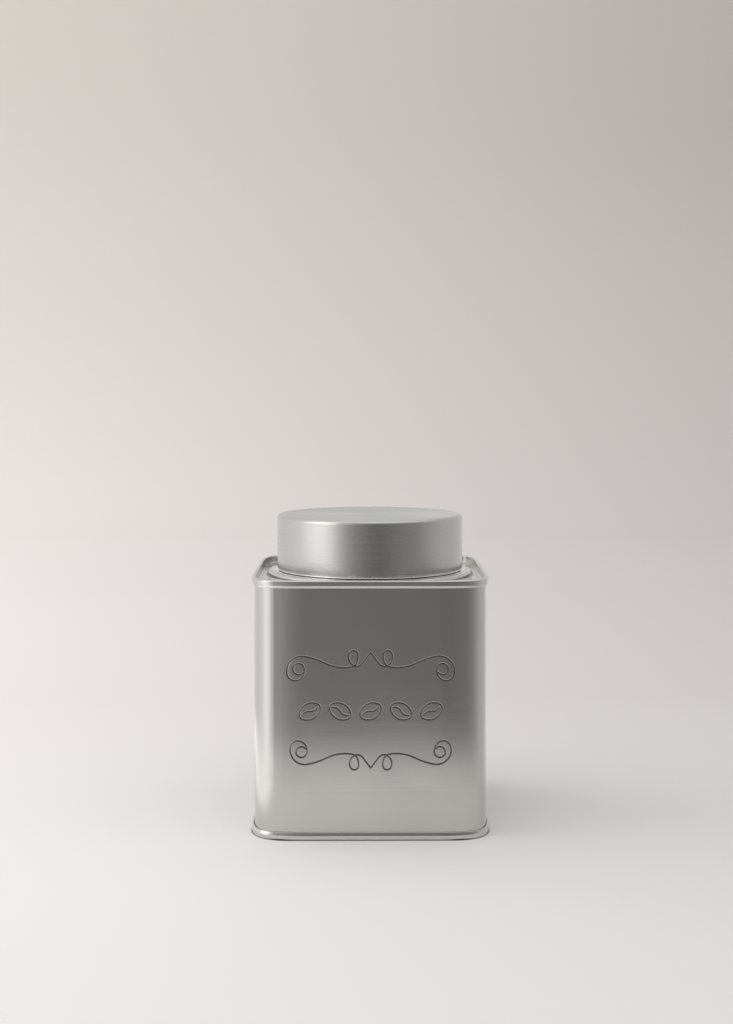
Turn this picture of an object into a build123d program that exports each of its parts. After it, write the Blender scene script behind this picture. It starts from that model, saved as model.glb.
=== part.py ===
from build123d import *
from math import cos, radians, sin
import os

# Square coffee tin in bare brushed tinplate: a wrapped body with a locked side seam, two double-seamed ends,
# a round neck clinched into the top end, a press-in inner lid with a knob, and a round slip lid over it.
# Millimetres. The origin is on the floor under the middle of the tin, +Z is up and the front faces -Y.

# ---- overall sizes ----
rim_width = 100.0          # across the rolled rims, both ways
rim_corner = 11.3          # outer radius of the rims in the middle of each corner
ease_radius = 56.0         # outer radius of the slight curves that ease each corner into its sides
ease_turn = 12.5           # degrees that each of these turns through
tin_height = 106.5         # floor to the top of the upper rim

# ---- sheet and double seams ----
sheet = 0.28               # tinplate thickness
layer_gap = 0.08           # air and lacquer between two folded layers
fold_slack = 0.02          # inner radius of the tightest folds
seam_height = 3.3          # height of a double seam
crown_bend = 0.4           # crown of a seam on its inner side; all bend radii are at the middle of the sheet
shoulder_bend = 0.8        # crown of a seam on its outer side
tuck_angle = 30            # how far the seam's outer face leans in below the shoulder, in degrees
end_hook = 2.0             # straight part of the end's hook
body_hook = 1.25           # depth of the body's hook
compound_depth = 0.3       # room for sealing compound under the crown
compound_radius = 0.1      # the bead of compound in it

# ---- ends ----
top_sink = 3.3             # depth of the top panel below the upper rim
bottom_sink = 3.8          # depth of the bottom panel above the floor
panel_bend = 0.9           # radius where a panel turns into its rim wall
bottom_bead_margin = 13.3  # from the rim wall to the round stiffening step in the bottom panel
bottom_bead_rise = 0.9
bottom_bead_bend = 0.8
step_margin = 3.1          # flat strip between the rim wall and the round step
step_height = 2.5          # rise of the round step above the top panel
step_foot_bend = 0.9       # radius at the step's foot, at the middle of the sheet
step_edge_bend = 1.4       # radius at its upper edge
join_lap = 0.15            # flat overlap where a folded profile joins a panel

# ---- slip lid ----
lid_margin = 4.4           # the step's radius less the lid's
lid_height = 24.1          # from the lid's lower edge to its top
lid_gap = 0.2              # gap between the lid's lower edge and the round step
lid_bend = 1.6             # top edge radius, at the middle of the sheet
hem_radius = 0.35          # rolled lower edge, at the middle of the sheet
hem_turn = 270             # degrees that the lower edge is rolled through

# ---- neck ----
neck_clearance = 0.35      # radial gap between the neck's rolled rim and the lid's rolled edge
rim_radius = 0.6           # roll of the neck's rim, at the middle of the sheet
hole_clearance = 0.05      # neck in the hole of the top plate
flange_width = 2.4         # neck flange clinched under the top plate
clinch_width = 1.0         # folded bead of the neck that bears on the top plate
rim_turn = 270             # degrees that the neck's rim is rolled through

# ---- inner lid, knob and rivet ----
seat_gap = 0.3             # gap between pieces that only rest on each other
plug_clearance = 0.25      # radial gap of the inner lid in the neck
plug_depth = 13.0          # depth of the inner lid's recess
plug_bend = 1.6
flange_hem = 1.1           # hem folded under the inner lid's flange edge
knob_height = 8.5
knob_radius = 9.0
knob_waist_radius = 5.5
knob_foot_radius = 7.0
knob_foot_height = 1.4
knob_edge = 1.0
knob_foot_edge = 0.4
rivet_radius = 1.6
rivet_clearance = 0.05
rivet_length = 6.0         # shank length above the inner lid's panel
rivet_head_radius = 3.2
rivet_head_height = 1.0

# ---- locked side seam at the back ----
lock_half_width = 1.8      # half the width of the folded lock
lock_strip = 4.2           # half the width of the wall that the lock replaces
lock_stop = 6.0            # where the lock ends, from the floor and from the upper rim
lock_tail_gap = 0.5        # gap between a hook's free edge and the fold that holds it

# ---- pressed line ornament on the front: two scrolls with a row of beans between them ----
press_depth = 0.3
line_width = 0.7
ridge_width = 1.1          # the same line on the inside of the sheet
ornament_margin = 14.5     # from the body's side to the scrolls
ornament_reach = 4.0       # depth behind the rims' outer face that the pressing reaches into
ornament_drop = 0.4        # middle of the ornament below the middle of the body
scroll_reach = 33.1        # half width of a scroll as drawn below, before it is scaled
scroll_tip = 23.2          # from the ornament's middle to a scroll's middle point
scroll_heading = 127.0     # direction of the first, straight run, anticlockwise from +X
scroll_steps = [           # the run's length, then the radius and turn of each bend
    (5.4, 0),
    (2.8, 88),
    (3.7, 83),
    (1.7, 140),
    (5.4, 36),
    (3.1, 57),
    (17.3, 35.5),
    (29.3, -16),
    (6.0, -111),
    (3.2, -108),
    (4.1, -80),
    (2.2, -302),
]
lower_scroll_size = 0.96   # the lower scroll is a little smaller than the upper one
bean_count = 5
bean_spacing = 12.0
bean_tilt = 28.0
bean_side = (5.3, 100)     # radius and turn of a bean's long sides, then of its tips
bean_tip = (1.9, 80)
crease = (3.0, 70)         # radius and turn of each half of the bean's S-shaped crease

# ---- places that follow from the sizes above ----
pitch = sheet + layer_gap
half = sheet / 2
rim_half = rim_width / 2


def layer(number):
    """Distance from the seam's outer face to the middle of one of its five layers, counted from 0 outside."""
    return number * pitch + half


body_half = rim_half - layer(3) + half
rim_wall = rim_half - layer(4) - half
top_panel = tin_height - top_sink
step_top = top_panel + step_height
step_radius = rim_wall - step_margin
bottom_bead_radius = rim_wall - bottom_bead_margin
lid_radius = step_radius - lid_margin
lid_top = step_top + lid_gap + lid_height
hem_inner_radius = lid_radius - sheet - 2 * hem_radius
neck_rim_outer = hem_inner_radius - neck_clearance
neck_radius = neck_rim_outer - half - 2 * rim_radius
inner_flange_top = lid_top - sheet - seat_gap
neck_top = inner_flange_top - 2 * sheet - layer_gap - seat_gap
plug_radius = neck_radius - half - plug_clearance
plug_floor = inner_flange_top - plug_depth
hook_bend = pitch - layer_gap / 4
tight_bend = half + fold_slack
ease_angle = radians(ease_turn)
ease_reach = ease_radius * (1 - cos(ease_angle) + sin(ease_angle))
flat_half = rim_half - ease_reach - rim_corner * (cos(ease_angle) - sin(ease_angle))
panel_inset = layer(4) + panel_bend
ornament_scale = (body_half - ornament_margin) / scroll_reach
bean_sagitta = bean_side[0] * (1 - cos(radians(bean_side[1] / 2)))
bean_tip_height = bean_tip[0] * sin(radians(bean_tip[1] / 2))
bean_width = 2 * (bean_sagitta + bean_tip_height)
front = Plane.XZ


def seam_plane(height):
    """Vertical plane across the front rim: its x runs outward and its origin is on the outer face."""
    return Plane(origin=(0, -rim_half, height), x_dir=(0, -1, 0), z_dir=(-1, 0, 0))


def trail(start, heading, steps):
    """Chain of tangent runs on the line that is open.

    Each step is a bend's radius and its turn in degrees, anticlockwise positive, or a length and 0.
    """
    end, direction = Vector(*start), Vector(1, 0).rotate(Axis.Z, heading)
    for size, turn in steps:
        if turn:
            run = JernArc(end, direction, size, turn)
        else:
            run = Line(end, end + direction * size)
        end, direction = run @ 1, run % 1


def rim_line(inset):
    """Rounded square inset from the rims' outer face, on the line that is open, from the front's middle."""
    ease = (ease_radius - inset, ease_turn)
    corner = [ease, (rim_corner - inset, 90 - 2 * ease_turn), ease]
    half_side, side = [(flat_half, 0)], [(2 * flat_half, 0)]
    trail((0, inset - rim_half), 0, half_side + 3 * (corner + side) + corner + half_side)


def rounded_square(inset, mode=Mode.ADD):
    """The same rounded square as a face on the sketch that is open."""
    with BuildLine() as outline:
        rim_line(inset)
    make_face(outline.edges(), mode=mode)


def rim_path(height):
    """Rounded square that the rims follow, at the given height."""
    with BuildLine() as path:
        rim_line(0)
    return path.wire().moved(Location((0, 0, height)))


def end_profile(crown, side):
    """Folded rim of an end, as the middle line of the sheet on a seam plane: panel, rim wall, crown and hook.

    crown is the height of the crown over the panel; side is 1 for the top end and -1 for the bottom end.
    """
    lean = radians(tuck_angle)
    tuck_bend = (layer(2) - layer(0) - tight_bend * (1 + cos(lean))) / (1 - cos(lean))
    face = seam_height - sheet - shoulder_bend - tuck_bend * sin(lean) - tight_bend * (1 - sin(lean))
    steps = [
        (join_lap, 0),
        (panel_bend, 90),
        (crown - panel_bend - crown_bend, 0),
        (crown_bend, -90),
        (layer(4) - layer(0) - crown_bend - shoulder_bend, 0),
        (shoulder_bend, -90),
        (face, 0),
        (tuck_bend, -tuck_angle),
        (tight_bend, tuck_angle - 180),
        (end_hook, 0),
    ]
    trail((-layer(4) - panel_bend - join_lap, 0), 0, [(size, turn * side) for size, turn in steps])


# ---- top plate: rim, sunken panel and round step with the hole for the neck ----
with BuildPart() as top_plate:
    with BuildSketch(seam_plane(top_panel - half)):
        with BuildLine():
            end_profile(top_sink, 1)
        trace(line_width=sheet)
    sweep(path=rim_path(top_panel - half))
    with BuildSketch(Plane.XY.offset(top_panel - sheet)):
        rounded_square(panel_inset)
        Circle(step_radius - half + step_foot_bend, mode=Mode.SUBTRACT)
    extrude(amount=sheet)
    with BuildSketch(front):
        with BuildLine():
            FilletPolyline(
                (step_radius - half + step_foot_bend + join_lap, top_panel - half),
                (step_radius - half, top_panel - half),
                (step_radius - half, step_top - half),
                (neck_radius + half + hole_clearance, step_top - half),
                radius=[step_foot_bend, step_edge_bend],
            )
        trace(line_width=sheet)
    revolve(axis=Axis.Z)
top_plate.part.label = "top_plate"

# ---- bottom plate: the same rim upside down, a flat panel and a round stiffening step ----
with BuildPart() as bottom_plate:
    with BuildSketch(seam_plane(bottom_sink + half)):
        with BuildLine():
            end_profile(bottom_sink, -1)
        trace(line_width=sheet)
    sweep(path=rim_path(bottom_sink + half))
    with BuildSketch(Plane.XY.offset(bottom_sink)):
        rounded_square(panel_inset)
        Circle(bottom_bead_radius + panel_bend, mode=Mode.SUBTRACT)
    extrude(amount=sheet)
    with BuildSketch(front):
        with BuildLine():
            FilletPolyline(
                (bottom_bead_radius + panel_bend + join_lap, bottom_sink + half),
                (bottom_bead_radius, bottom_sink + half),
                (bottom_bead_radius - bottom_bead_rise, bottom_sink + half + bottom_bead_rise),
                (0, bottom_sink + half + bottom_bead_rise),
                radius=bottom_bead_bend,
            )
        trace(line_width=sheet)
    revolve(axis=Axis.Z)
bottom_plate.part.label = "bottom_plate"


def scaled(steps, scale):
    """The same steps of a trail at another size."""
    return [(size * scale, turn) for size, turn in steps]


def scroll(scale):
    """Left half of the scroll that lies below the ornament's middle, from its middle point outward."""
    with BuildLine() as line:
        trail((0, -scroll_tip * scale), scroll_heading, scaled(scroll_steps, scale))
    return line.edges()


def bean(middle, tilt, scale):
    """Outline and crease of one coffee bean, with its middle at the distance middle from the row's middle."""
    crease_radius, crease_turn = crease
    lowest = Vector(0, -bean_width / 2).rotate(Axis.Z, tilt) * scale
    crease_end = Vector(-2 * crease_radius * sin(radians(crease_turn / 2)), 0).rotate(Axis.Z, tilt) * scale
    half_side = (bean_side[0], bean_side[1] / 2)
    outline = [half_side, bean_tip, bean_side, bean_tip, half_side]
    with BuildLine() as line:
        trail((middle + lowest.X, lowest.Y), tilt, scaled(outline, scale))
        trail(
            (middle + crease_end.X, crease_end.Y),
            tilt + crease_turn / 2,
            scaled([(crease_radius, -crease_turn), (crease_radius, crease_turn)], scale),
        )
    return line.edges()


def ornament_lines(width):
    """All lines of the ornament at the given width, drawn about the ornament's middle on the open sketch."""
    lower_scale = lower_scroll_size * ornament_scale
    upper_half = [edge.mirror(Plane.XZ) for edge in scroll(ornament_scale)]
    for edge in scroll(lower_scale) + upper_half:
        trace(edge, line_width=width)
    with Locations((0, -scroll_tip * lower_scale), (0, scroll_tip * ornament_scale)):
        Circle(width / 2)
    mirror(about=Plane.YZ)
    for number in range(bean_count):
        middle = (number - (bean_count - 1) / 2) * bean_spacing * ornament_scale
        for edge in bean(middle, bean_tilt * (-1) ** number, ornament_scale):
            trace(edge, line_width=width)


def pressed_lines(width, inset):
    """The ornament's lines as a band one pressing deep, at the given inset from the rims' outer face."""
    ornament_plane = Plane(
        origin=(0, -rim_half, tin_height / 2 - ornament_drop), x_dir=(1, 0, 0), z_dir=(0, -1, 0)
    )
    with BuildPart() as band:
        with BuildSketch(ornament_plane):
            ornament_lines(width)
        extrude(amount=-ornament_reach)
        with BuildSketch():
            rounded_square(inset)
            rounded_square(inset + press_depth, mode=Mode.SUBTRACT)
        extrude(amount=tin_height, mode=Mode.INTERSECT)
    return band.part


# ---- body wall: one sheet with a hook folded outward at both ends and a locked seam at the back ----
wall_inset = rim_half - body_half
ridge = pressed_lines(ridge_width, wall_inset + sheet)
groove = pressed_lines(line_width, wall_inset)
wall_top = tin_height - sheet - compound_depth - half
wall_bottom = sheet + compound_depth + half
with BuildPart() as body_wall:
    with BuildSketch(seam_plane(0)):
        with BuildLine():
            FilletPolyline(
                (-layer(1), wall_bottom + body_hook),
                (-layer(1), wall_bottom),
                (-layer(3), wall_bottom),
                (-layer(3), wall_top),
                (-layer(1), wall_top),
                (-layer(1), wall_top - body_hook),
                radius=hook_bend,
            )
        trace(line_width=sheet)
    sweep(path=rim_path(0))
    with BuildSketch(Plane.XY.offset(lock_stop)):
        with Locations((0, body_half - half)):
            Rectangle(2 * lock_strip, 2 * sheet)
    extrude(amount=tin_height - 2 * lock_stop, mode=Mode.SUBTRACT)
    with BuildSketch(Plane.XY.offset(lock_stop)):
        with BuildLine():
            FilletPolyline(
                (-lock_strip, body_half - half),
                (lock_half_width, body_half - half),
                (lock_half_width, body_half - half - 2 * pitch),
                (-lock_half_width + hook_bend + lock_tail_gap, body_half - half - 2 * pitch),
                radius=hook_bend,
            )
        trace(line_width=sheet)
        with BuildLine():
            FilletPolyline(
                (lock_strip, body_half - half),
                (lock_half_width + 3 * pitch, body_half - half),
                (lock_half_width + pitch, body_half - half - 3 * pitch),
                (-lock_half_width, body_half - half - 3 * pitch),
                (-lock_half_width, body_half - half - pitch),
                (lock_half_width - hook_bend - lock_tail_gap, body_half - half - pitch),
                radius=hook_bend,
            )
        trace(line_width=sheet)
    extrude(amount=tin_height - 2 * lock_stop)
    add(ridge)
    add(groove, mode=Mode.SUBTRACT)
body_wall.part.label = "body_wall"


def compound_ring(height):
    """Bead of sealing compound between the crown of a seam and the body's hook, at the given height."""
    with BuildPart() as ring:
        with BuildSketch(seam_plane(height)):
            with Locations((-layer(2), 0)):
                Circle(compound_radius)
        sweep(path=rim_path(height))
    return ring


compound_height = sheet + compound_depth / 2
top_seam_compound = compound_ring(tin_height - compound_height)
top_seam_compound.part.label = "top_seam_compound"
bottom_seam_compound = compound_ring(compound_height)
bottom_seam_compound.part.label = "bottom_seam_compound"

# ---- neck: flange under the step, folded bead on it, wall and a rim rolled outward ----
rim_roll_centre = (neck_radius + rim_radius, neck_top - half - rim_radius)
with BuildPart() as neck_ring:
    with BuildSketch(front):
        with BuildLine():
            FilletPolyline(
                (neck_radius + flange_width, step_top - sheet - half),
                (neck_radius, step_top - sheet - half),
                (neck_radius, step_top + half),
                (neck_radius + clinch_width, step_top + half),
                (neck_radius + clinch_width, step_top + half + pitch),
                (neck_radius, step_top + half + pitch),
                (neck_radius, rim_roll_centre[1]),
                radius=tight_bend,
            )
            CenterArc(rim_roll_centre, rim_radius, 180, -rim_turn)
        trace(line_width=sheet)
    revolve(axis=Axis.Z)
neck_ring.part.label = "neck_ring"

# ---- inner lid: hemmed flange on the neck's rim, recess that plugs the neck, hole for the rivet ----
with BuildPart() as inner_lid:
    with BuildSketch(front):
        with BuildLine():
            FilletPolyline(
                (neck_rim_outer - half - flange_hem, inner_flange_top - half - pitch),
                (neck_rim_outer - half, inner_flange_top - half - pitch),
                (neck_rim_outer - half, inner_flange_top - half),
                (plug_radius - half, inner_flange_top - half),
                (plug_radius - half, plug_floor - half),
                (rivet_radius + rivet_clearance, plug_floor - half),
                radius=[tight_bend, tight_bend, hook_bend, plug_bend],
            )
        trace(line_width=sheet)
    revolve(axis=Axis.Z)
inner_lid.part.label = "inner_lid"

# ---- knob: a turned mushroom on the inner lid, bored for the rivet ----
with BuildPart() as inner_lid_knob:
    with BuildSketch(front):
        with BuildLine():
            FilletPolyline(
                (rivet_radius + rivet_clearance, plug_floor),
                (knob_foot_radius, plug_floor),
                (knob_foot_radius, plug_floor + knob_foot_height),
                (knob_waist_radius, plug_floor + knob_foot_height + knob_edge),
                (knob_waist_radius, plug_floor + knob_height / 2),
                (knob_radius, plug_floor + knob_height - 2 * knob_edge),
                (knob_radius, plug_floor + knob_height),
                (0, plug_floor + knob_height),
                radius=[knob_foot_edge, knob_foot_edge, knob_edge, knob_edge, knob_edge, knob_edge],
            )
            Polyline(
                (0, plug_floor + knob_height),
                (0, plug_floor + rivet_length),
                (rivet_radius + rivet_clearance, plug_floor + rivet_length),
                (rivet_radius + rivet_clearance, plug_floor),
            )
        make_face()
    revolve(axis=Axis.Z)
inner_lid_knob.part.label = "inner_lid_knob"

# ---- rivet: domed head under the inner lid, shank up into the knob ----
rivet_dome_radius = (rivet_head_radius**2 + rivet_head_height**2) / (2 * rivet_head_height)
with BuildPart() as knob_rivet:
    with BuildSketch(front):
        with BuildLine():
            head_edge = (rivet_head_radius, plug_floor - sheet)
            RadiusArc((0, plug_floor - sheet - rivet_head_height), head_edge, rivet_dome_radius)
            Polyline(
                head_edge,
                (rivet_radius, plug_floor - sheet),
                (rivet_radius, plug_floor + rivet_length),
                (0, plug_floor + rivet_length),
                (0, plug_floor - sheet - rivet_head_height),
            )
        make_face()
    revolve(axis=Axis.Z)
knob_rivet.part.label = "knob_rivet"

# ---- slip lid: flat top, rounded edge, skirt and a lower edge rolled inward ----
hem_centre = (lid_radius - half - hem_radius, step_top + lid_gap + half + hem_radius)
with BuildPart() as outer_lid:
    with BuildSketch(front):
        with BuildLine():
            FilletPolyline(
                (0, lid_top - half),
                (lid_radius - half, lid_top - half),
                (lid_radius - half, hem_centre[1]),
                radius=lid_bend,
            )
            CenterArc(hem_centre, hem_radius, 0, -hem_turn)
        trace(line_width=sheet)
    revolve(axis=Axis.Z)
outer_lid.part.label = "outer_lid"

# ---- one STEP file for each piece ----
os.makedirs("parts", exist_ok=True)
pieces = [
    body_wall,
    bottom_plate,
    top_plate,
    top_seam_compound,
    bottom_seam_compound,
    neck_ring,
    inner_lid,
    inner_lid_knob,
    knob_rivet,
    outer_lid,
]
for piece in pieces:
    export_step(piece.part, f"parts/{piece.part.label}.step")
    print(piece.part.label, round(piece.part.volume, 2), "mm3")
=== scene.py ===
# %% Load the fixed frame
import math

import bmesh
import bpy
import mathutils
import numpy as np
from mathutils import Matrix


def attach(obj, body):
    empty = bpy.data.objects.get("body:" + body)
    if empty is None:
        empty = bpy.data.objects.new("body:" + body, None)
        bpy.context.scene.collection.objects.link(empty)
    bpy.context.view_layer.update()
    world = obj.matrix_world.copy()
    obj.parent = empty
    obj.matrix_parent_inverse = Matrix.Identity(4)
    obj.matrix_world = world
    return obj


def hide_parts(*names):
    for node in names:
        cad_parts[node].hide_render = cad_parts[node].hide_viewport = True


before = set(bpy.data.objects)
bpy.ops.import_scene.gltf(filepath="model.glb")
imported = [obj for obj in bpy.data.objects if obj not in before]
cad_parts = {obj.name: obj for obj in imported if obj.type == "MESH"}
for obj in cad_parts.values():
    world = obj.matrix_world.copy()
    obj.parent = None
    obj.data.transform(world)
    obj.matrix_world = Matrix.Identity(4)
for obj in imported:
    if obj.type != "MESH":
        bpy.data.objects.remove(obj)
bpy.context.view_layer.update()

MM = 0.001
print("pieces in the frame:", ", ".join(sorted(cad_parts)))

# %% [markdown]
# ## The camera
# A product picture of a tin is usually taken level, from a little above the lid, so that the upright edges
# stay parallel. The camera could be tilted down at the tin, but then the edges would lean. Here it stays
# level and the lens is shifted down instead, the way an architect's camera is.

# %% Camera
CAMERA_DISTANCE = 674.2 * MM      # to the middle of the tin
CAMERA_HEIGHT = 184.5 * MM
CAMERA_SIDE = -5.5 * MM
CAMERA_YAW = -0.006               # the tin is turned a touch from the camera's axis
LENS = 53.63
SHIFT_DOWN = -0.1191

camera_data = bpy.data.cameras.new("camera")
camera_data.lens = LENS
camera_data.sensor_width = 36
camera_data.shift_y = SHIFT_DOWN
camera_data.clip_start, camera_data.clip_end = 0.01, 30
camera = bpy.data.objects.new("camera", camera_data)
camera.location = (CAMERA_SIDE, -CAMERA_DISTANCE, CAMERA_HEIGHT)
camera.rotation_euler = (math.pi / 2, 0, CAMERA_YAW)
bpy.context.scene.collection.objects.link(camera)
bpy.context.scene.camera = camera
bpy.context.scene.view_settings.view_transform = "Standard"
print("camera at", [round(v, 4) for v in camera.location])

# %% [markdown]
# ## Helpers for node trees
# Every material below is a tree of nodes. Four helpers keep the cells short: one adds a node and sets or
# links its inputs, two add a sum or a change of range, and one starts a material.


# %% Node helpers
def add(tree, kind, inputs=None, **settings):
    """A new node of the given kind, with its settings and its input values."""
    node = tree.nodes.new(kind)
    for name, value in settings.items():
        setattr(node, name, value)
    for name, value in (inputs or {}).items():
        if isinstance(value, bpy.types.NodeSocket):
            tree.links.new(value, node.inputs[name])
        else:
            node.inputs[name].default_value = value
    return node


def maths(tree, operation, *values):
    """The result of a Math node on the given sockets and numbers."""
    return add(tree, "ShaderNodeMath", dict(enumerate(values)), operation=operation).outputs[0]


def remap(tree, value, low, high, to_low, to_high, smooth=False):
    """The value brought from the range low..high to the range to_low..to_high, held at its ends."""
    inputs = {"Value": value, "From Min": low, "From Max": high, "To Min": to_low, "To Max": to_high}
    kind = "SMOOTHSTEP" if smooth else "LINEAR"
    return add(tree, "ShaderNodeMapRange", inputs, interpolation_type=kind).outputs[0]


def new_material(name):
    """An empty material with its output node."""
    material = bpy.data.materials.new(name)
    material.use_nodes = True
    material.node_tree.nodes.clear()
    return material, add(material.node_tree, "ShaderNodeOutputMaterial")


print("helpers are ready")

# %% [markdown]
# ## Floor and backdrop
# The tin stands on a sheet of pale paper that sweeps up behind it, so there is no horizon. A sweep is a
# floor, a quarter circle and a wall in one mesh. The paper's colour holds painted light: it is painted a
# little warmer and darker towards the top and the right, as paper is when it is lit from the left, and a
# painted contact shadow darkens it where the tin's rim meets it. For reflections the far paper is left
# out, so that the metal sees the dim studio in front of it, which is what gives a bare tin its dark front.
# The paper to the left glows for reflections, a painted pool of light under the soft box. The strip where
# the floor begins to turn up gets the least light, so its colour is painted a little brighter, or it would
# show as a band.

# %% Sweep of paper
SWEEP_HALF_WIDTH = 6.0
SWEEP_FRONT = -9.0
SWEEP_BEND_START = 1.2
SWEEP_BEND_RADIUS = 0.6
SWEEP_HEIGHT = 3.0
SWEEP_STEPS = 24

sweep_profile = [(SWEEP_FRONT, 0.0)]
for step in range(SWEEP_STEPS + 1):
    angle = math.pi / 2 * step / SWEEP_STEPS
    sweep_profile.append(
        (
            SWEEP_BEND_START + SWEEP_BEND_RADIUS * math.sin(angle),
            SWEEP_BEND_RADIUS * (1 - math.cos(angle)),
        )
    )
sweep_profile.append((SWEEP_BEND_START + SWEEP_BEND_RADIUS, SWEEP_HEIGHT))
sweep_points = [(side * SWEEP_HALF_WIDTH, y, z) for y, z in sweep_profile for side in (-1, 1)]
sweep_faces = [(2 * n, 2 * n + 1, 2 * n + 3, 2 * n + 2) for n in range(len(sweep_profile) - 1)]
sweep_mesh = bpy.data.meshes.new("paper_sweep")
sweep_mesh.from_pydata(sweep_points, [], sweep_faces)
sweep_mesh.shade_smooth()
sweep = bpy.data.objects.new("paper_sweep", sweep_mesh)
bpy.context.scene.collection.objects.link(sweep)
print("sweep of paper:", len(sweep_faces), "faces")

# %% Paper colours with painted light, along the sweep and across it
ACROSS_MOST, ACROSS_LEAST = 1.25, 0.6
paper, paper_out = new_material("pale paper")
tree = paper.node_tree
place = add(tree, "ShaderNodeTexCoord").outputs["Object"]
place_xyz = add(tree, "ShaderNodeSeparateXYZ", {0: place})
along = maths(tree, "ADD", place_xyz.outputs["Y"], place_xyz.outputs["Z"])
paper_and_light_ramp = add(tree, "ShaderNodeValToRGB", {"Fac": remap(tree, along, -0.25, 2.5, 0, 1)})
# the stops hold painted light: darker towards the top, and brighter where the floor turns up and gets the
# least light
PAPER_AND_LIGHT_STOPS = [
    (0.0, (0.882, 0.874, 0.88)),
    (0.07, (0.888, 0.875, 0.868)),
    (0.18, (0.806, 0.784, 0.781)),
    (0.36, (0.803, 0.778, 0.776)),
    (0.51, (0.833, 0.809, 0.806)),
    (0.59, (0.805, 0.78, 0.774)),
    (0.69, (0.763, 0.737, 0.724)),
    (0.83, (0.718, 0.69, 0.672)),
    (1.0, (0.685, 0.65, 0.618)),
]
for number, (position, colour) in enumerate(PAPER_AND_LIGHT_STOPS):
    stops = paper_and_light_ramp.color_ramp.elements
    stop = stops[number] if number < 2 else stops.new(position)
    stop.position = position
    stop.color = (*colour, 1)
# painted falloff of light from the left: the paper's colour darkens towards the right
slope_near = remap(tree, along, 0.25, 0.85, -0.48, -0.3)
slope_far = remap(tree, along, 1.5, 2.1, 0, 0.06)
painted_falloff = maths(tree, "ADD", slope_near, slope_far)
across = maths(tree, "MULTIPLY_ADD", place_xyz.outputs["X"], painted_falloff, 1.0)
across = maths(tree, "MAXIMUM", maths(tree, "MINIMUM", across, ACROSS_MOST), ACROSS_LEAST)
print("paper colours:", len(PAPER_AND_LIGHT_STOPS), "stops")

# %% Painted contact shadow where the tin stands on the paper
FOOT_FLAT_HALF = 0.0345           # the tin's footprint: flat half width and corner radius
FOOT_CORNER = 0.0144
CONTACT_REACH = 0.0016            # how far the painted contact shadow under the tin's edge reaches out
CONTACT_SHADE_TONE = 0.05
beyond = []
for axis in ("X", "Y"):
    out_from_middle = maths(tree, "ABSOLUTE", place_xyz.outputs[axis])
    past_flat = maths(tree, "SUBTRACT", out_from_middle, FOOT_FLAT_HALF)
    beyond.append(maths(tree, "POWER", maths(tree, "MAXIMUM", past_flat, 0), 2))
from_foot = maths(tree, "SQRT", maths(tree, "ADD", *beyond))
# painted contact shadow: the paper's colour darkens right round the tin's footprint
contact = remap(tree, from_foot, FOOT_CORNER, FOOT_CORNER + CONTACT_REACH, CONTACT_SHADE_TONE, 1, smooth=True)
across = maths(tree, "MULTIPLY", across, contact)
print("contact line:", round(CONTACT_REACH / MM, 1), "mm wide")

# %% Paper surface, and how far the metal sees it
grain = add(tree, "ShaderNodeTexNoise", {"Vector": place, "Scale": 900.0, "Detail": 2.0})
paper_colour = add(tree, "ShaderNodeVectorMath", {0: paper_and_light_ramp.outputs["Color"]}, operation="SCALE")
tree.links.new(across, paper_colour.inputs["Scale"])
bump = add(tree, "ShaderNodeBump", {"Height": grain.outputs[0], "Strength": 0.03, "Distance": 0.0005})
light_path = add(tree, "ShaderNodeLightPath")
POOL_START, POOL_FULL = -0.075, -0.11   # where the painted pool of light begins, left of the tin
POOL_GLOW, POOL_REST = 0.55, 0.05
# painted pool of light: left of the tin the paper glows for glossy rays, though it is no lamp
painted_glow = remap(
    tree, place_xyz.outputs["X"], POOL_FULL, POOL_START, POOL_GLOW, POOL_REST, smooth=True
)
paper_surface = add(
    tree,
    "ShaderNodeBsdfPrincipled",
    {
        "Base Color": paper_colour.outputs[0],
        "Roughness": 0.85,
        "Specular IOR Level": 0.2,
        "Normal": bump.outputs[0],
        "Emission Color": (1.0, 1.0, 1.0, 1),
        "Emission Strength": maths(tree, "MULTIPLY", painted_glow, light_path.outputs["Is Glossy Ray"]),
    },
)
from_tin = add(tree, "ShaderNodeVectorMath", {0: place, 1: (0.0, 0.0, 0.0)}, operation="DISTANCE")
PAPER_SEEN_NEAR = 0.155           # how far from the tin's middle the metal still sees the paper
PAPER_SEEN_FAR = 0.25
unseen = remap(tree, from_tin.outputs["Value"], PAPER_SEEN_NEAR, PAPER_SEEN_FAR, 0, 1, smooth=True)
unseen = maths(tree, "MULTIPLY", unseen, light_path.outputs["Is Glossy Ray"])
see_through = add(tree, "ShaderNodeBsdfTransparent")
mixed = add(
    tree,
    "ShaderNodeMixShader",
    {0: unseen, 1: paper_surface.outputs[0], 2: see_through.outputs[0]},
)
tree.links.new(mixed.outputs[0], paper_out.inputs["Surface"])
sweep_mesh.materials.append(paper)
print("the metal sees the paper up to", PAPER_SEEN_FAR, "m away")

# %% [markdown]
# ## Studio light
# Bare metal shows what is round it, so the room matters more than the lamps. The room could be built from
# white cards and black flags. A world that is coloured by compass direction does the same with one ramp: a
# tall soft box at the front left, pale walls at the sides and behind, and a dim front where the camera
# stands. The ramp is for reflections only. The paper gets even light, and one soft lamp from the left gives
# the tin its shadow.

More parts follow.
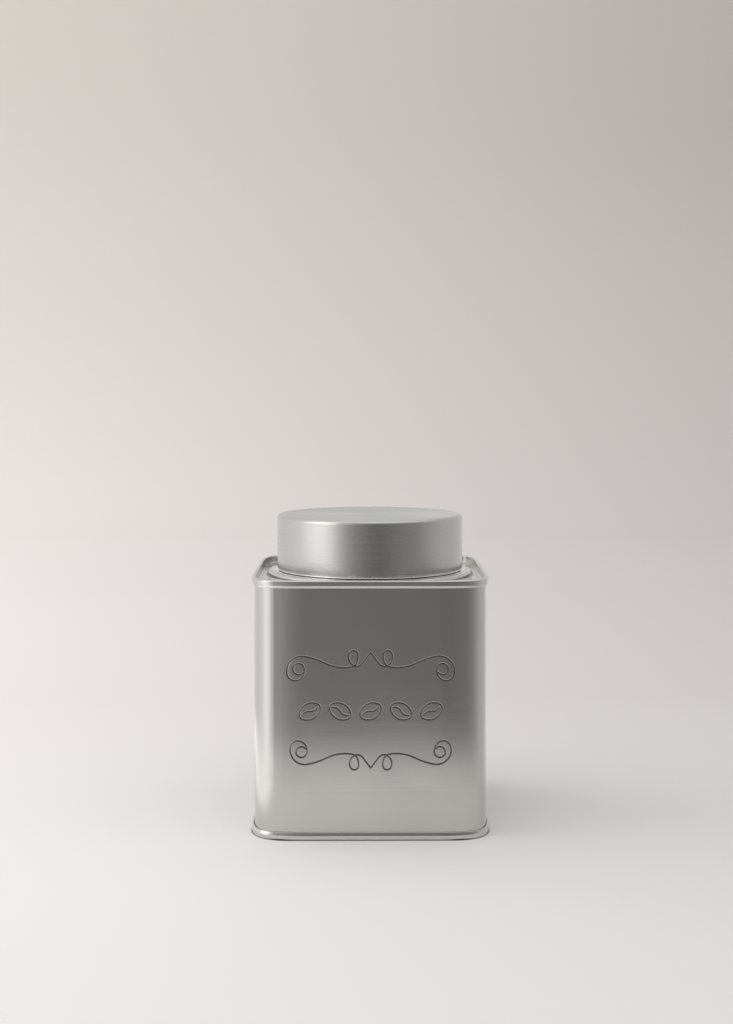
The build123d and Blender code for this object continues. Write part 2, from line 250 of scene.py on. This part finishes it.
# %% World: the room as the metal sees it
ROOM_STOPS = [                    # degrees from the front, right is positive; brightness
    (-180, 0.68),
    (-150, 0.8),
    (-125, 0.92),
    (-98, 1.0),
    (-80, 1.2),
    (-66, 1.4),
    (-50, 1.17),
    (-38, 0.7),
    (-25, 0.4),
    (-8, 0.25),
    (5, 0.195),
    (15, 0.18),
    (35, 0.27),
    (60, 0.32),
    (80, 0.5),
    (100, 0.6),
    (140, 0.65),
    (180, 0.68),
]
ROOM_TOP = 1.6                    # brightness at the ramp's white end
world = bpy.data.worlds.new("studio")
bpy.context.scene.world = world
world.use_nodes = True
tree = world.node_tree
tree.nodes.clear()
look = add(tree, "ShaderNodeSeparateXYZ", {0: add(tree, "ShaderNodeTexCoord").outputs["Generated"]})
front = maths(tree, "MULTIPLY", look.outputs["Y"], -1.0)
compass = maths(tree, "ARCTAN2", look.outputs["X"], front)
room_ramp = add(tree, "ShaderNodeValToRGB", {"Fac": remap(tree, compass, -math.pi, math.pi, 0, 1)})
room_ramp.color_ramp.interpolation = "B_SPLINE"
for number, (degrees, brightness) in enumerate(ROOM_STOPS):
    stops = room_ramp.color_ramp.elements
    position = (degrees + 180) / 360
    stop = stops[number] if number < 2 else stops.new(position)
    stop.position = position
    stop.color = (*[brightness / ROOM_TOP] * 3, 1)
ceiling = remap(tree, look.outputs["Z"], 0.6, 0.9, 0, 1, smooth=True)
CEILING_TONE = (0.62, 0.62, 0.61, 1)
room = add(tree, "ShaderNodeMix", {"Factor": ceiling}, data_type="RGBA")
tree.links.new(room_ramp.outputs["Color"], room.inputs[6])
room.inputs[7].default_value = CEILING_TONE
print("room:", len(ROOM_STOPS), "directions")

# %% Soft box in the room, and even light for everything that isn't a reflection
SOFT_BOX_TURN = math.radians(-70)
SOFT_BOX_HALF_WIDTH = math.radians(24)
SOFT_BOX_GLOW = 0.8
off_axis = maths(tree, "ABSOLUTE", maths(tree, "SUBTRACT", compass, SOFT_BOX_TURN))
soft_box_side = remap(tree, off_axis, SOFT_BOX_HALF_WIDTH * 0.6, SOFT_BOX_HALF_WIDTH, 1, 0, smooth=True)
soft_box_foot = remap(tree, look.outputs["Z"], -0.02, 0.08, 0, 1, smooth=True)
soft_box_head = remap(tree, look.outputs["Z"], 0.75, 0.9, 1, 0, smooth=True)
soft_box_rise = maths(tree, "MULTIPLY", soft_box_foot, soft_box_head)
soft_box = maths(tree, "MULTIPLY", soft_box_side, soft_box_rise)
glow = maths(tree, "MULTIPLY_ADD", soft_box, SOFT_BOX_GLOW, ROOM_TOP)
reflected = add(tree, "ShaderNodeBackground", {"Color": room.outputs[2], "Strength": glow})
EVEN_LIGHT = 0.885
even = add(tree, "ShaderNodeBackground", {"Color": (1.0, 0.985, 0.965, 1), "Strength": EVEN_LIGHT})
rays = add(tree, "ShaderNodeLightPath")
chosen = add(
    tree,
    "ShaderNodeMixShader",
    {0: rays.outputs["Is Glossy Ray"], 1: even.outputs[0], 2: reflected.outputs[0]},
)
add(tree, "ShaderNodeOutputWorld", {"Surface": chosen.outputs[0]})
print("soft box at", round(math.degrees(SOFT_BOX_TURN)), "degrees, even light", EVEN_LIGHT)

# %% Soft lamp from the left
LAMP_AZIMUTH = math.radians(-97)  # from the front, towards the left
LAMP_HEIGHT = 0.6
LAMP_DISTANCE = 1.15
LAMP_WIDTH, LAMP_TALL = 1.6, 0.29
LAMP_POWER = 4.7
lamp_data = bpy.data.lights.new("soft_lamp", "AREA")
lamp_data.shape = "RECTANGLE"
lamp_data.size, lamp_data.size_y = LAMP_WIDTH, LAMP_TALL
lamp_data.energy = LAMP_POWER
lamp_data.color = (1.0, 0.99, 0.98)
lamp = bpy.data.objects.new("soft_lamp", lamp_data)
lamp.location = (
    LAMP_DISTANCE * math.sin(LAMP_AZIMUTH),
    -LAMP_DISTANCE * math.cos(LAMP_AZIMUTH),
    LAMP_HEIGHT,
)
lamp.rotation_euler = (-lamp.location).to_track_quat("-Z", "Y").to_euler()
lamp.visible_glossy = False
bpy.context.scene.collection.objects.link(lamp)
print("lamp at", [round(v, 2) for v in lamp.location])

# %% [markdown]
# ## Brushed tinplate
# Tinplate is thin steel with a skin of tin, brushed while it is flat. The brush leaves fine parallel lines,
# so light spreads across the lines and hardly along them. That is anisotropy, and it is set on the shader.
# The lines themselves are a stretched noise. Every sheet piece uses it, so it is a node group, which gives
# a roughness and a normal.


# %% Brush group
def new_group(name, inputs, outputs):
    """An empty node group with the given sockets, its input node and its output node."""
    group = bpy.data.node_groups.new(name, "ShaderNodeTree")
    for socket, kind, value in inputs:
        made = group.interface.new_socket(socket, in_out="INPUT", socket_type=kind)
        if value is not None:
            made.default_value = value
    for socket, kind in outputs:
        group.interface.new_socket(socket, in_out="OUTPUT", socket_type=kind)
    return group, add(group, "NodeGroupInput"), add(group, "NodeGroupOutput")


brush, brush_in, brush_out = new_group(
    "brush lines",
    [
        ("Vector", "NodeSocketVector", None),
        ("Line Scale", "NodeSocketFloat", 1500.0),
        ("Stretch", "NodeSocketFloat", 60.0),
        ("Depth", "NodeSocketFloat", 0.15),
        ("Base Roughness", "NodeSocketFloat", 0.3),
        ("Roughness Spread", "NodeSocketFloat", 0.08),
    ],
    [("Roughness", "NodeSocketFloat"), ("Normal", "NodeSocketVector")],
)
spot = add(brush, "ShaderNodeSeparateXYZ", {0: brush_in.outputs["Vector"]})
squeeze = maths(brush, "DIVIDE", brush_in.outputs["Line Scale"], brush_in.outputs["Stretch"])
stretched = add(
    brush,
    "ShaderNodeCombineXYZ",
    {
        0: maths(brush, "MULTIPLY", spot.outputs["X"], squeeze),
        1: maths(brush, "MULTIPLY", spot.outputs["Y"], squeeze),
        2: maths(brush, "MULTIPLY", spot.outputs["Z"], brush_in.outputs["Line Scale"]),
    },
)
lines = add(brush, "ShaderNodeTexNoise", {"Vector": stretched.outputs[0], "Scale": 1.0, "Detail": 3.0})
line_mask = remap(brush, lines.outputs[0], 0.3, 0.7, 0, 1)
centred = maths(brush, "SUBTRACT", line_mask, 0.5)
line_roughness = maths(
    brush,
    "MULTIPLY_ADD",
    centred,
    brush_in.outputs["Roughness Spread"],
    brush_in.outputs["Base Roughness"],
)
line_bump = add(
    brush,
    "ShaderNodeBump",
    {"Height": line_mask, "Strength": brush_in.outputs["Depth"], "Distance": 0.00002},
)
brush.links.new(line_roughness, brush_out.inputs["Roughness"])
brush.links.new(line_bump.outputs[0], brush_out.inputs["Normal"])
print("group:", brush.name, [s.name for s in brush.interface.items_tree])

# %% [markdown]
# ## Wear from handling
# Fingers and years leave cloudy patches on tinplate that are a little duller and darker. One noise with
# four octaves gives the patches and their broken edges. It is a second group, since the sheet pieces and
# the knob share it.

# %% Wear group
wear, wear_in, wear_out = new_group(
    "handling wear",
    [
        ("Vector", "NodeSocketVector", None),
        ("Patch Scale", "NodeSocketFloat", 25.0),
        ("Roughness", "NodeSocketFloat", 0.3),
        ("Dulling", "NodeSocketFloat", 0.04),
        ("Colour", "NodeSocketColor", (0.56, 0.555, 0.54, 1)),
        ("Stain", "NodeSocketFloat", 0.05),
    ],
    [("Roughness", "NodeSocketFloat"), ("Colour", "NodeSocketColor")],
)
patches = add(
    wear,
    "ShaderNodeTexNoise",
    {
        "Vector": wear_in.outputs["Vector"],
        "Scale": wear_in.outputs["Patch Scale"],
        "Detail": 4.0,
        "Roughness": 0.6,
    },
)
patch_mask = remap(wear, patches.outputs[0], 0.4, 0.72, 0, 1, smooth=True)
dulled = maths(wear, "MULTIPLY_ADD", patch_mask, wear_in.outputs["Dulling"], wear_in.outputs["Roughness"])
STAIN = (0.35, 0.34, 0.32, 1)
stain_amount = maths(wear, "MULTIPLY", patch_mask, wear_in.outputs["Stain"])
stained = add(wear, "ShaderNodeMix", {"Factor": stain_amount}, data_type="RGBA", blend_type="MULTIPLY")
wear.links.new(wear_in.outputs["Colour"], stained.inputs[6])
stained.inputs[7].default_value = STAIN
wear.links.new(dulled, wear_out.inputs["Roughness"])
wear.links.new(stained.outputs[2], wear_out.inputs["Colour"])
print("group:", wear.name)

# %% [markdown]
# ## One function for every metal
# All the metals share both groups and differ only in tone, finish and lines, so one function makes them.
# Painted shade darkens the pressed lines of the front. Where the lid's lower edge meets the step under it,
# the metal gets a painted highlight.


# %% Brushed tinplate materials
GROOVE_SHADE = (0.25, 0.247, 0.242, 1)     # painted shade in the pressed lines
PAINTED_HIGHLIGHT = (0.92, 0.915, 0.9, 1)        # painted highlight where the lid's edge meets the step
SPREAD_ACROSS = 0.25                  # a quarter turn, so that light spreads across the lines


def highlight_place(tree, xyz, measure):
    """The height of a point, or its distance from the tin's axis."""
    if measure == "height":
        return xyz.outputs["Z"]
    squares = [maths(tree, "POWER", xyz.outputs[axis], 2) for axis in "XY"]
    return maths(tree, "SQRT", maths(tree, "ADD", *squares))


def tinplate(
    name,
    colour,
    roughness,
    spread,
    anisotropy=0.0,
    line_scale=1500.0,
    stretch=60.0,
    depth=0.1,
    stain=0.05,
    highlight_band=None,
):
    """Bare metal with brush lines round the piece, worn, and with painted shade in pressed lines.

    Highlight band says where a painted highlight lies: by height or radius, and from which value to which.
    """
    material, output = new_material(name)
    tree = material.node_tree
    place = add(tree, "ShaderNodeTexCoord").outputs["Object"]
    lines = add(tree, "ShaderNodeGroup", node_tree=brush)
    tree.links.new(place, lines.inputs["Vector"])
    for socket, value in (
        ("Line Scale", line_scale),
        ("Stretch", stretch),
        ("Depth", depth),
        ("Base Roughness", roughness),
        ("Roughness Spread", spread),
    ):
        lines.inputs[socket].default_value = value
    worn = add(tree, "ShaderNodeGroup", node_tree=wear)
    tree.links.new(place, worn.inputs["Vector"])
    tree.links.new(lines.outputs["Roughness"], worn.inputs["Roughness"])
    worn.inputs["Colour"].default_value = (*colour, 1)
    worn.inputs["Stain"].default_value = stain
    # painted shade: the colour darkens where the front's lines are pressed in
    in_lines = add(tree, "ShaderNodeAttribute", attribute_name="pressed").outputs["Fac"]
    groove_shade = add(tree, "ShaderNodeMix", {0: in_lines}, data_type="RGBA", blend_type="MULTIPLY")
    tree.links.new(worn.outputs["Colour"], groove_shade.inputs[6])
    groove_shade.inputs[7].default_value = GROOVE_SHADE
    tone = groove_shade.outputs[2]
    # painted highlight: a brighter band where the lid's edge meets the step
    if highlight_band:
        measure, highlight_start, highlight_full = highlight_band
        reach = highlight_place(tree, add(tree, "ShaderNodeSeparateXYZ", {0: place}), measure)
        highlight_share = remap(tree, reach, highlight_start, highlight_full, 0, 1)
        bright = add(tree, "ShaderNodeMix", {0: highlight_share}, data_type="RGBA")
        tree.links.new(tone, bright.inputs[6])
        bright.inputs[7].default_value = PAINTED_HIGHLIGHT
        tone = bright.outputs[2]
    surface = add(
        tree,
        "ShaderNodeBsdfPrincipled",
        {
            "Base Color": tone,
            "Metallic": 1.0,
            "Roughness": worn.outputs["Roughness"],
            "Anisotropic": anisotropy,
            "Anisotropic Rotation": SPREAD_ACROSS,
            "Normal": lines.outputs["Normal"],
        },
    )
    tree.links.new(surface.outputs[0], output.inputs["Surface"])
    return material


print("ready to make metals")

# %% The tin's sheet metals
BRUSHED, SATIN, INNER = (0.56, 0.555, 0.535), (0.61, 0.605, 0.585), (0.6, 0.595, 0.58)
LID_EDGE_HIGHLIGHT = ("height", 0.1072, 0.1064)  # in metres, from no painted highlight to full
STEP_HIGHLIGHT = ("radius", 0.0422, 0.0414)
body_tin = tinplate(
    "brushed tinplate body", BRUSHED, 0.175, 0.04, anisotropy=0.3, stretch=120.0, depth=0.05
)
lid_tin = tinplate(
    "brushed tinplate lid",
    BRUSHED,
    0.23,
    0.12,
    anisotropy=0.6,
    line_scale=1200.0,
    stretch=160.0,
    depth=0.05,
    highlight_band=LID_EDGE_HIGHLIGHT,
)
end_tin = tinplate("satin tinplate ends", SATIN, 0.15, 0.02, stretch=200.0, depth=0.02)
step_tin = tinplate(
    "satin tinplate step", SATIN, 0.15, 0.02, stretch=200.0, depth=0.02, highlight_band=STEP_HIGHLIGHT
)
neck_tin = tinplate("satin tinplate neck", INNER, 0.24, 0.05, anisotropy=0.3)
plug_tin = tinplate("satin tinplate inner lid", INNER, 0.24, 0.05, anisotropy=0.3)
print("tinplate finishes:", [m.name for m in (body_tin, lid_tin, end_tin, step_tin, neck_tin, plug_tin)])

# %% [markdown]
# ## The knob, the rivet and the sealing compound
# The knob is turned aluminium, so its lines are fine and run round it. The rivet is cast and dull. The
# sealing compound is a grey rubber that only shows in a cut, and it isn't a metal.

# %% Other finishes
aluminium = tinplate(
    "turned aluminium",
    (0.78, 0.78, 0.775),
    0.3,
    0.08,
    anisotropy=0.4,
    line_scale=2500.0,
    stretch=80.0,
    depth=0.2,
    stain=0.03,
)
rivet_metal = tinplate(
    "rivet aluminium", (0.74, 0.74, 0.735), 0.42, 0.06, line_scale=900.0, stretch=2.0, depth=0.2, stain=0.1
)
compound, compound_out = new_material("grey sealing compound")
tree = compound.node_tree
rubber_grain = add(tree, "ShaderNodeTexNoise", {"Scale": 2200.0, "Detail": 2.0})
tree.links.new(add(tree, "ShaderNodeTexCoord").outputs["Object"], rubber_grain.inputs["Vector"])
rubber_roughness = remap(tree, rubber_grain.outputs[0], 0.3, 0.7, 0.6, 0.75)
rubber_bump = add(
    tree, "ShaderNodeBump", {"Height": rubber_grain.outputs[0], "Strength": 0.2, "Distance": 0.00005}
)
rubber = add(
    tree,
    "ShaderNodeBsdfPrincipled",
    {
        "Base Color": (0.36, 0.37, 0.38, 1),
        "Roughness": rubber_roughness,
        "Normal": rubber_bump.outputs[0],
    },
)
tree.links.new(rubber.outputs[0], compound_out.inputs["Surface"])
print("other finishes:", [m.name for m in (aluminium, rivet_metal, compound)])

# %% Dress the frame's pieces
FINISH = {
    "body_wall": body_tin,
    "bottom_plate": end_tin,
    "top_plate": step_tin,
    "neck_ring": neck_tin,
    "inner_lid": plug_tin,
    "outer_lid": lid_tin,
    "inner_lid_knob": aluminium,
    "knob_rivet": rivet_metal,
    "top_seam_compound": compound,
    "bottom_seam_compound": compound,
}
for piece, finish in FINISH.items():
    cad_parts[piece].data.materials[0] = finish
print("dressed", len(FINISH), "pieces")

# %% [markdown]
# ## The pressed front
# The scrolls and the row of beans are pressed into the sheet between two dies. The sheet bends round the
# die's edges, so a pressed line is a soft hollow outside and a soft ridge inside, and painted shade darkens
# it. The frame's lines have square sides. They could be rounded with a bevel, but a bevel on a thousand
# small edges breaks where lines meet. Instead a window is cut in a copy of the wall, and a finer sheet is
# set in. Its depth at any point comes from the distance to the nearest line, so lines that meet blend by
# themselves.

# %% Lines of the ornament, in millimetres about its middle
SCROLL_SIZES = ((1.04, 1), (0.9984, -1))      # size of the upper and lower scroll, and which way up
SCROLL_TIP = 23.2
SCROLL_HEADING = 127.0
SCROLL_STEPS = [                  # the first run's length, then radius and turn of each bend
    (5.4, 0),
    (2.8, 88),
    (3.7, 83),
    (1.7, 140),
    (5.4, 36),
    (3.1, 57),
    (17.3, 35.5),
    (29.3, -16),
    (6.0, -111),
    (3.2, -108),
    (4.1, -80),
    (2.2, -302),
]
BEAN_SIZE = 1.04
BEAN_COUNT, BEAN_SPACING, BEAN_TILT = 5, 12.0, 28.0
BEAN_SIDE, BEAN_TIP = (5.3, 100), (1.9, 80)   # radius and turn
CREASE = (3.0, 70)
POINT_SPACING = 0.1


def trail(start, heading, steps, size=1.0):
    """Points along a chain of runs and bends, each given by a length and 0, or a radius and a turn."""
    spot, facing = np.array(start, float), math.radians(heading)
    points = [spot]
    for reach, turn in steps:
        length = size * reach * (abs(math.radians(turn)) if turn else 1.0)
        count = max(2, math.ceil(length / POINT_SPACING))
        for _ in range(count):
            facing += math.radians(turn) / count / 2
            spot = spot + length / count * np.array([math.cos(facing), math.sin(facing)])
            facing += math.radians(turn) / count / 2
            points.append(spot)
    return np.array(points)


strokes = []
for size, up in SCROLL_SIZES:
    half_scroll = trail((0, -SCROLL_TIP * size), SCROLL_HEADING, SCROLL_STEPS, size)
    for side in (1, -1):
        strokes.append(half_scroll * (side, -up))
bean_half_width = BEAN_SIDE[0] * (1 - math.cos(math.radians(BEAN_SIDE[1] / 2)))
bean_half_width += BEAN_TIP[0] * math.sin(math.radians(BEAN_TIP[1] / 2))
crease_half_length = 2 * CREASE[0] * math.sin(math.radians(CREASE[1] / 2))
half_side = (BEAN_SIDE[0], BEAN_SIDE[1] / 2)
for number in range(BEAN_COUNT):
    middle = (number - (BEAN_COUNT - 1) / 2) * BEAN_SPACING * BEAN_SIZE
    tilt = math.radians(BEAN_TILT * (-1) ** number)
    turned = np.array([[math.cos(tilt), math.sin(tilt)], [-math.sin(tilt), math.cos(tilt)]])
    outline = trail((0, -bean_half_width), 0, [half_side, BEAN_TIP, BEAN_SIDE, BEAN_TIP, half_side])
    crease = trail((-crease_half_length, 0), CREASE[1] / 2, [(CREASE[0], -CREASE[1]), CREASE])
    for stroke in (outline, crease):
        strokes.append(stroke * BEAN_SIZE @ turned + (middle, 0))
print("strokes:", len(strokes), "with", sum(len(s) for s in strokes), "points")

# %% The wall's form round the window
BODY_FACE = 48.92                 # from the tin's middle to the outside of the wall
FLAT_HALF = 27.97                 # half width of the flat part of the front
EASE_RADIUS = 54.92               # the slight curve beside it
SHEET = 0.28
ORNAMENT_HEIGHT = 52.85
WINDOW_HALF_WIDTH = 36.5
WINDOW_HALF_HEIGHT = 28.0
COLUMN_STEP = 0.7                 # between the columns that follow the curve


def front_form(x):
    """Place and outward direction of the wall's outside at x, as (y, sideways part, forward part)."""
    along = np.sign(x) * np.maximum(np.abs(x) - FLAT_HALF, 0.0)
    lean = np.arcsin(along / EASE_RADIUS)
    return -BODY_FACE + EASE_RADIUS * (1 - np.cos(lean)), np.sin(lean), -np.cos(lean)


lean_back = front_form(np.array([WINDOW_HALF_WIDTH]))[0][0] + BODY_FACE
print("the wall leans back", round(float(lean_back), 2), "mm at the window's side")

# %% Rows of points along every line
GROOVE_HALF_WIDTH = 0.5
GROOVE_DEPTH = 0.15
ROW_OFFSETS = (0.0, 0.13, -0.13, 0.26, -0.26, 0.39, -0.39, 0.52, -0.52, 0.7, -0.7)
ROW_SPACING = 3                   # every third point of a stroke
END_FANS = (0.26, 0.52, 0.7)      # distances of the points fanned round a stroke's end
FAN_TURN = 0.5                    # between two rays of a fan, in radians
MERGE_GRID = 0.06                 # points nearer than this become one
COLUMN_POINTS = 15

flat_points = []
for stroke in strokes:
    tangent = np.gradient(stroke, axis=0)
    tangent /= np.linalg.norm(tangent, axis=1)[:, None]
    across = np.stack([-tangent[:, 1], tangent[:, 0]], 1)
    for offset in ROW_OFFSETS:
        flat_points.append((stroke + across * offset)[::ROW_SPACING])
    for end, sign in ((0, -1), (-1, 1)):
        for step in range(-3, 4):
            ray = tangent[end] * sign * math.cos(step * FAN_TURN) + across[end] * math.sin(step * FAN_TURN)
            flat_points.extend((stroke[end] + ray * reach)[None] for reach in END_FANS)
columns = np.arange(FLAT_HALF, WINDOW_HALF_WIDTH + COLUMN_STEP / 2, COLUMN_STEP)
columns[-1] = WINDOW_HALF_WIDTH
heights = np.linspace(-WINDOW_HALF_HEIGHT, WINDOW_HALF_HEIGHT, COLUMN_POINTS)
for column in np.concatenate([-columns, columns]):
    flat_points.append(np.stack([np.full(len(heights), column), heights], 1))
flat_points = np.concatenate(flat_points)
_, kept = np.unique(np.round(flat_points / MERGE_GRID).astype(int), axis=0, return_index=True)
flat_points = flat_points[np.sort(kept)]
net = mathutils.geometry.delaunay_2d_cdt([mathutils.Vector(p) for p in flat_points], [], [], 0, 1e-5)
net_points = np.array([tuple(v) for v in net[0]])
net_faces = [tuple(f) for f in net[2]]
print("net:", len(net_points), "points,", len(net_faces), "faces")

# %% Depth and direction of the sheet at each point
line_points = np.concatenate(strokes)
tree_of_lines = mathutils.kdtree.KDTree(len(line_points))
for number, point in enumerate(line_points):
    tree_of_lines.insert((*point, 0), number)
tree_of_lines.balance()
nearest = np.array([tree_of_lines.find((*p, 0))[0][:2] for p in net_points])
away = net_points - nearest
distance = np.linalg.norm(away, axis=1)
share = np.clip(distance / GROOVE_HALF_WIDTH, 0, 1)
depth = GROOVE_DEPTH * (1 + np.cos(math.pi * share)) / 2
slope_of_side = -GROOVE_DEPTH * math.pi / 2 / GROOVE_HALF_WIDTH * np.sin(math.pi * share)
downhill = away / np.maximum(distance, 1e-6)[:, None] * slope_of_side[:, None]
face_y, out_x, out_y = front_form(net_points[:, 0])
outward = np.stack([out_x, out_y, 0 * out_x], 1)
undented = np.stack([net_points[:, 0], face_y, net_points[:, 1] + ORNAMENT_HEIGHT], 1)
outside = undented - outward * depth[:, None]
inside = outside - outward * SHEET
facing_out = np.stack([out_x - out_y * downhill[:, 0], out_y + out_x * downhill[:, 0], downhill[:, 1]], 1)
facing_out /= np.linalg.norm(facing_out, axis=1)[:, None]
print("deepest point:", round(float(depth.max()), 3), "mm")

# %% Cut the window in a copy of the wall
cut_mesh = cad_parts["body_wall"].data.copy()
corner_directions = np.zeros(len(cut_mesh.loops) * 3, np.float32)
cut_mesh.corner_normals.foreach_get("vector", corner_directions)
kept_direction = cut_mesh.attributes.new("kept_direction", "FLOAT_VECTOR", "CORNER")
kept_direction.data.foreach_set("vector", corner_directions)
cutter = bmesh.new()
cutter.from_mesh(cut_mesh)
low, high = ORNAMENT_HEIGHT - WINDOW_HALF_HEIGHT, ORNAMENT_HEIGHT + WINDOW_HALF_HEIGHT
FRONT_LIMIT = -44.0               # the cuts leave all that lies behind this alone


def front_parts():
    """Faces of the wall's front, with their edges and corners."""
    faces = [f for f in cutter.faces if all(v.co.y < FRONT_LIMIT * MM for v in f.verts)]
    edges = {e for f in faces for e in f.edges}
    corners = {v for f in faces for v in f.verts}
    return faces + list(edges) + list(corners)


for corner, direction in (
    ((WINDOW_HALF_WIDTH, 0, 0), (1, 0, 0)),
    ((-WINDOW_HALF_WIDTH, 0, 0), (1, 0, 0)),
    ((0, 0, low), (0, 0, 1)),
    ((0, 0, high), (0, 0, 1)),
):
    bmesh.ops.bisect_plane(
        cutter, geom=front_parts(), plane_co=[v * MM for v in corner], plane_no=direction, dist=1e-8
    )
in_window = []
for face in cutter.faces:
    x, y, z = (v / MM for v in face.calc_center_median())
    if y < FRONT_LIMIT and abs(x) < WINDOW_HALF_WIDTH and low < z < high:
        in_window.append(face)
bmesh.ops.delete(cutter, geom=in_window, context="FACES")
cutter.to_mesh(cut_mesh)
cutter.free()
print("window cut:", len(in_window), "faces taken out,", len(cut_mesh.polygons), "left")

# %% Join wall and pressed sheet
wall_points = [tuple(v.co) for v in cut_mesh.vertices]
wall_faces = [tuple(p.vertices) for p in cut_mesh.polygons]
directions = [tuple(d.vector) for d in cut_mesh.attributes["kept_direction"].data]
GROOVE_SHADE_GAIN = 1.8                # the painted shade covers more of a groove than its deepest part
pressed_share = [0.0] * len(wall_points)
for sheet_points, sign in ((outside, 1), (inside, -1)):
    first = len(wall_points)
    wall_points += [tuple(p * MM) for p in sheet_points]
    pressed_share += list(np.minimum(GROOVE_SHADE_GAIN * depth / GROOVE_DEPTH, 1.0))
    for face in net_faces:
        a, b, c = net_points[list(face)]
        anticlockwise = (b[0] - a[0]) * (c[1] - a[1]) - (b[1] - a[1]) * (c[0] - a[0]) > 0
        ordered = face if anticlockwise == (sign > 0) else face[::-1]
        wall_faces.append(tuple(first + corner for corner in ordered))
        directions += [tuple(facing_out[corner] * sign) for corner in ordered]
wall_mesh = bpy.data.meshes.new("pressed_wall")
wall_mesh.from_pydata(wall_points, [], wall_faces)
wall_mesh.shade_smooth()
wall_mesh.normals_split_custom_set(directions)
pressed = wall_mesh.attributes.new("pressed", "FLOAT", "POINT")
pressed.data.foreach_set("value", pressed_share)
wall = bpy.data.objects.new("pressed_wall", wall_mesh)
bpy.context.scene.collection.objects.link(wall)
wall_mesh.materials.append(body_tin)
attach(wall, "tin")
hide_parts("body_wall")
print("pressed wall:", len(wall_mesh.polygons), "faces")
